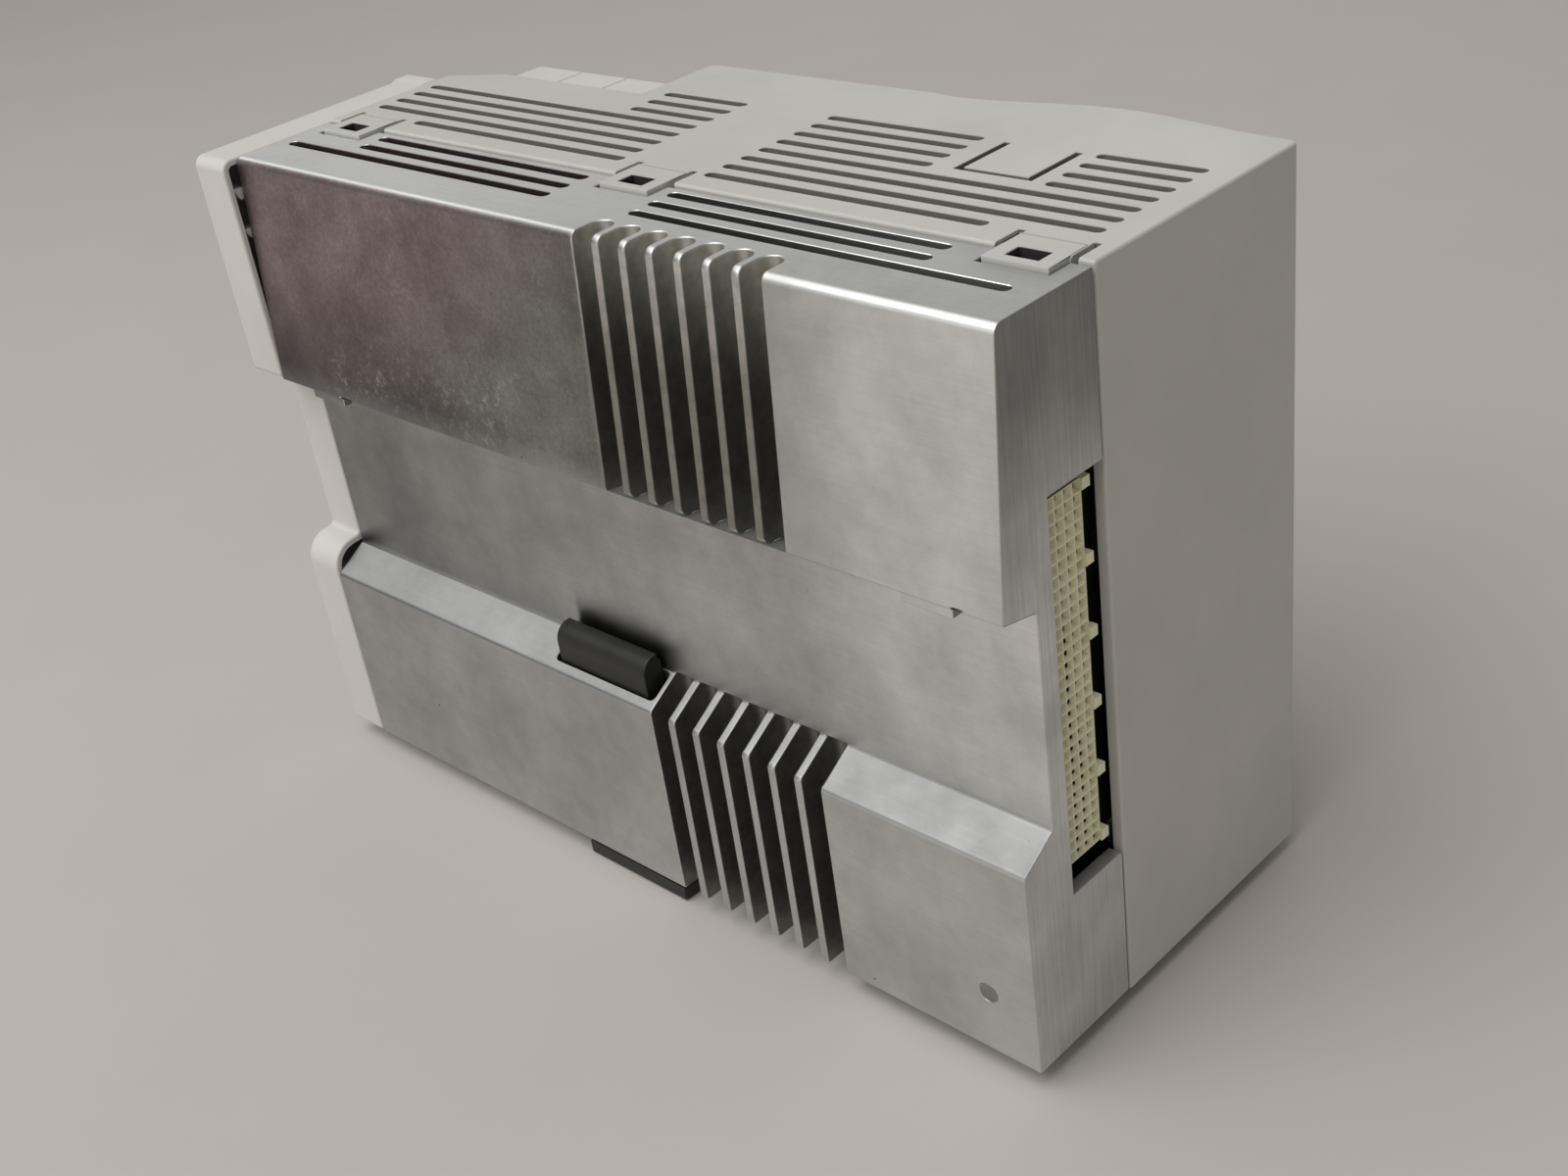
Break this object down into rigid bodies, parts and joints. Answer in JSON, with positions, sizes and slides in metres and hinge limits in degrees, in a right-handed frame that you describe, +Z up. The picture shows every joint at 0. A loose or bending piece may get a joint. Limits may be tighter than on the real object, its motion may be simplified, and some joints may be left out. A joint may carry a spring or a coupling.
{
  "type": "rail-mounted controller module",
  "caption": "Upright controller module for a mounting rail: finned metal back with a rail groove and foot latch, slotted clip-on cover, side bus connector, plug-in terminals.",
  "frame": {"origin": "centre of the bounding box's footprint, level with the underside of the latch's pull bar, the lowest point", "axes": "+Z up as mounted, +Y out of the rail groove at the back, +X towards the end plate"},
  "size_m": [0.176, 0.0758, 0.1236],
  "materials": {
    "milled_aluminium": "milled and tumbled, faintly brushed",
    "cover_plastic": "fine moulded texture",
    "white_plastic": "smooth moulded",
    "ivory_plastic": "smooth moulded",
    "black_plastic": "smooth moulded",
    "key_plastic": "smooth moulded",
    "clear_plastic": "clear moulded",
    "display_glass": "glossy tinted window",
    "board_laminate": "solder-resist lacquer",
    "steel": "zinc-plated",
    "tinned_shield": "tinned sheet",
    "nickelled_brass": "nickel-plated",
    "thermal_silicone": "soft matt pad",
    "capacitor_sleeve": "shrink sleeve"
  },
  "bodies": {
    "housing": {"board_screw_1": "steel", "board_screw_2": "steel", "board_screw_3": "steel", "board_screw_4": "steel", "buffer_cell": "steel", "bus_connector": "ivory_plastic", "card_socket": "black_plastic", "display_module": "black_plastic", "display_window": "display_glass", "end_plate": "white_plastic", "front_cover": "cover_plastic", "heat_sink_housing": "milled_aluminium", "heat_spreader": "milled_aluminium", "key_switch_1": "black_plastic", "key_switch_2": "black_plastic", "key_switch_3": "black_plastic", "key_switch_4": "black_plastic", "key_switch_5": "black_plastic", "latch_spring": "steel", "light_pipes": "clear_plastic", "main_board": "board_laminate", "network_jack_1": "tinned_shield", "network_jack_2": "tinned_shield", "network_jack_3": "tinned_shield", "network_jack_4": "tinned_shield", "option_cover": "cover_plastic", "panel_board": "board_laminate", "processor": "black_plastic", "processor_board": "board_laminate", "processor_board_post_1": "nickelled_brass", "processor_board_post_2": "nickelled_brass", "processor_board_post_3": "nickelled_brass", "processor_board_post_4": "nickelled_brass", "serial_jack_screw_1": "steel", "serial_jack_screw_2": "steel", "serial_port": "tinned_shield", "signal_board": "board_laminate", "signal_board_post_1": "nickelled_brass", "signal_board_post_2": "nickelled_brass", "smoothing_capacitor_1": "capacitor_sleeve", "smoothing_capacitor_2": "capacitor_sleeve", "smoothing_capacitor_3": "capacitor_sleeve", "terminal_header": "black_plastic", "thermal_pad": "thermal_silicone"},
    "latch": {"foot_latch": "black_plastic"},
    "reset": {"reset_button": "key_plastic"},
    "card": {"memory_card": "black_plastic"},
    "ejector": {"card_eject_button": "key_plastic"},
    "key_1": {"display_key_1": "key_plastic"},
    "key_2": {"display_key_2": "key_plastic"},
    "key_3": {"display_key_3": "key_plastic"},
    "key_4": {"display_key_4": "key_plastic"},
    "plug_1": {"terminal_plug_1": "white_plastic"},
    "flap_1": {"marker_flap_1": "white_plastic"},
    "plug_2": {"terminal_plug_2": "white_plastic"},
    "flap_2": {"marker_flap_2": "white_plastic"},
    "plug_3": {"terminal_plug_3": "white_plastic"},
    "flap_3": {"marker_flap_3": "white_plastic"}
  },
  "joints": [
    {"name": "latch_slide", "type": "slide", "parent": "housing", "child": "latch", "axis": [0, 0, 1], "range_m": [-0.005, 0], "stiffness_N_per_m": 1200, "springref_m": 0.006, "deforming": ["latch_spring"]},
    {"name": "key_1_press", "type": "slide", "parent": "housing", "child": "key_1", "axis": [0, 1, 0], "range_m": [0, 0.0008], "stiffness_N_per_m": 900, "springref_m": -0.0006},
    {"name": "key_2_press", "type": "slide", "parent": "housing", "child": "key_2", "axis": [0, 1, 0], "range_m": [0, 0.0008], "stiffness_N_per_m": 900, "springref_m": -0.0006},
    {"name": "key_3_press", "type": "slide", "parent": "housing", "child": "key_3", "axis": [0, 1, 0], "range_m": [0, 0.0008], "stiffness_N_per_m": 900, "springref_m": -0.0006},
    {"name": "key_4_press", "type": "slide", "parent": "housing", "child": "key_4", "axis": [0, 1, 0], "range_m": [0, 0.0008], "stiffness_N_per_m": 900, "springref_m": -0.0006},
    {"name": "reset_press", "type": "slide", "parent": "housing", "child": "reset", "axis": [0, 1, 0], "range_m": [0, 0.0008], "stiffness_N_per_m": 900, "springref_m": -0.0006},
    {"name": "eject_press", "type": "slide", "parent": "housing", "child": "ejector", "axis": [0, 1, 0], "range_m": [0, 0.005]},
    {"name": "card_slide", "type": "slide", "parent": "housing", "child": "card", "axis": [0, -1, 0], "range_m": [0, 0.005]},
    {"name": "plug_1_pull", "type": "slide", "parent": "housing", "child": "plug_1", "axis": [0, -1, 0], "range_m": [0, 0.008]},
    {"name": "plug_2_pull", "type": "slide", "parent": "housing", "child": "plug_2", "axis": [0, -1, 0], "range_m": [0, 0.008]},
    {"name": "plug_3_pull", "type": "slide", "parent": "housing", "child": "plug_3", "axis": [0, -1, 0], "range_m": [0, 0.008]},
    {"name": "flap_1_hinge", "type": "hinge", "parent": "plug_1", "child": "flap_1", "pos_m": [0.0359, -0.0363, 0.1027], "axis": [1, 0, 0], "range_deg": [0, 110]},
    {"name": "flap_2_hinge", "type": "hinge", "parent": "plug_2", "child": "flap_2", "pos_m": [0.0481, -0.0363, 0.1027], "axis": [1, 0, 0], "range_deg": [0, 110]},
    {"name": "flap_3_hinge", "type": "hinge", "parent": "plug_3", "child": "flap_3", "pos_m": [0.0603, -0.0363, 0.1027], "axis": [1, 0, 0], "range_deg": [0, 110]}
  ],
  "couplings": [
    {"joint": "card_slide", "follows": "eject_press", "ratio": 1}
  ]
}
